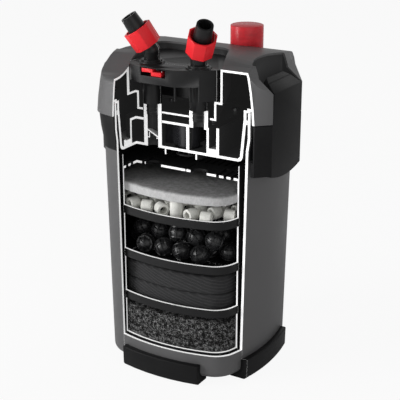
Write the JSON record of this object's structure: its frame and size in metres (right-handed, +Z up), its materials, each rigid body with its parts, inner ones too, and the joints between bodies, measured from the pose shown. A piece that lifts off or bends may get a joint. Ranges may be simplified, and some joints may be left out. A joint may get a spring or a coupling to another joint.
{
  "type": "canister filter",
  "caption": "Square aquarium canister filter shown cut away, with stacked media baskets, motor head, side clamps, valve block with two swivelling hose elbows, and priming knob.",
  "frame": {"origin": "centre of the whole part's footprint on the surface that it stands on, a little in front of the canister's axis", "axes": "+Z up, -Y towards the front with the hose elbows, +X to the right seen from the front"},
  "size_m": [0.241, 0.217, 0.4525],
  "materials": {
    "canister_grey": "fine satin moulded plastic",
    "black_plastic": "satin moulded plastic",
    "black_rubber": "matt rubber",
    "steel": "turned steel",
    "inner_plastic": "satin moulded plastic",
    "coarse_foam": "open-cell foam",
    "fine_foam": "fine foam",
    "ball_plastic": "glossy black plastic",
    "ceramic": "porous ceramic",
    "floss": "polyester floss",
    "grey_rubber": "matt rubber",
    "resin": "potting resin",
    "magnet": "plastic bonded magnet",
    "flap_plastic": "white plastic",
    "lid_grey": "fine satin moulded plastic",
    "red_plastic": "glossy red plastic",
    "red_clear": "tinted clear plastic"
  },
  "bodies": {
    "canister": {"container": "canister_grey", "foot_front": "black_plastic", "foot_right": "black_plastic", "foot_back": "black_plastic", "foot_left": "black_plastic", "foot_pads": "black_rubber", "collar": "black_plastic", "hinge_lugs": "black_plastic", "clamp_pins": "steel"},
    "clamp_l": {"clamp_left": "black_plastic"},
    "clamp_r": {"clamp_right": "black_plastic"},
    "basket_a": {"basket_1": "inner_plastic", "coarse_sponge_lower": "coarse_foam", "coarse_sponge_upper": "coarse_foam"},
    "basket_b": {"basket_2": "inner_plastic", "fine_sponge_lower": "fine_foam", "fine_sponge_upper": "fine_foam"},
    "basket_c": {"basket_3": "inner_plastic", "bio_balls": "ball_plastic"},
    "basket_d": {"basket_4": "inner_plastic", "ceramic_rings": "ceramic", "floss_pad": "floss"},
    "cover": {"basket_cover": "inner_plastic"},
    "head": {"motor_tray": "inner_plastic", "tray_seal": "black_rubber", "motor_housing": "inner_plastic", "housing_gasket": "grey_rubber", "housing_cover_plate": "inner_plastic", "stator": "resin", "impeller_shaft": "ceramic", "impeller_cover": "inner_plastic", "inlet_flap": "flap_plastic", "housing_screws": "steel", "lid_shell": "lid_grey", "lid_well": "black_plastic", "lid_scoops": "black_plastic", "lid_catches": "black_plastic", "cable_gland": "black_plastic", "priming_bellows": "black_rubber"},
    "rotor": {"impeller": "magnet"},
    "block": {"valve_block": "black_plastic", "valve_o_rings": "black_rubber", "lever_pin": "steel"},
    "lever": {"release_lever": "red_plastic"},
    "left_elbow": {"elbow_left": "black_plastic"},
    "right_elbow": {"elbow_right": "black_plastic"},
    "left_nut": {"hose_nut_left": "red_plastic"},
    "right_nut": {"hose_nut_right": "red_plastic"},
    "knob": {"priming_knob": "red_clear"}
  },
  "joints": [
    {"name": "basket_1_lift", "type": "slide", "parent": "canister", "child": "basket_a", "axis": [0, 0, 1], "range_m": [0, 0.1]},
    {"name": "basket_2_lift", "type": "slide", "parent": "basket_a", "child": "basket_b", "axis": [0, 0, 1], "range_m": [0, 0.08]},
    {"name": "basket_3_lift", "type": "slide", "parent": "basket_b", "child": "basket_c", "axis": [0, 0, 1], "range_m": [0, 0.08]},
    {"name": "basket_4_lift", "type": "slide", "parent": "basket_c", "child": "basket_d", "axis": [0, 0, 1], "range_m": [0, 0.08]},
    {"name": "cover_lift", "type": "slide", "parent": "basket_d", "child": "cover", "axis": [0, 0, 1], "range_m": [0, 0.04]},
    {"name": "head_lift", "type": "slide", "parent": "cover", "child": "head", "axis": [0, 0, 1], "range_m": [0, 0.12]},
    {"name": "clamp_left_swing", "type": "hinge", "parent": "canister", "child": "clamp_l", "pos_m": [-0.1093, -0.00205, 0.2674], "axis": [0, -1, 0], "range_deg": [0, 55]},
    {"name": "clamp_right_swing", "type": "hinge", "parent": "canister", "child": "clamp_r", "pos_m": [0.1093, -0.00205, 0.2674], "axis": [0, 1, 0], "range_deg": [0, 55]},
    {"name": "impeller_spin", "type": "hinge", "parent": "head", "child": "rotor", "pos_m": [0.00485, -0.03605, 0.29], "axis": [0, 0, 1], "continuous": true},
    {"name": "valve_block_lift", "type": "slide", "parent": "head", "child": "block", "axis": [0, 0, 1], "range_m": [0, 0.07]},
    {"name": "release_lever_swing", "type": "hinge", "parent": "block", "child": "lever", "pos_m": [-0.009, -0.07355, 0.386], "axis": [0, 0, 1], "range_deg": [0, 60]},
    {"name": "elbow_left_swivel", "type": "hinge", "parent": "block", "child": "left_elbow", "pos_m": [-0.035, -0.05555, 0.4], "axis": [0, 0, 1], "range_deg": [-75, 50]},
    {"name": "elbow_right_swivel", "type": "hinge", "parent": "block", "child": "right_elbow", "pos_m": [0.03, -0.05555, 0.4], "axis": [0, 0, 1], "range_deg": [-45, 80]},
    {"name": "hose_nut_left_turn", "type": "hinge", "parent": "left_elbow", "child": "left_nut", "pos_m": [-0.04392, -0.0618, 0.42277], "axis": [-0.4461, -0.3124, 0.8387], "continuous": true},
    {"name": "hose_nut_right_turn", "type": "hinge", "parent": "right_elbow", "child": "right_nut", "pos_m": [0.03797, -0.06298, 0.42277], "axis": [0.3983, -0.3714, 0.8387], "continuous": true},
    {"name": "priming_knob_press", "type": "slide", "parent": "head", "child": "knob", "axis": [0, 0, -1], "range_m": [0, 0.012], "stiffness_N_per_m": 400, "springref_m": -0.003, "deforming": ["priming_bellows"]}
  ]
}
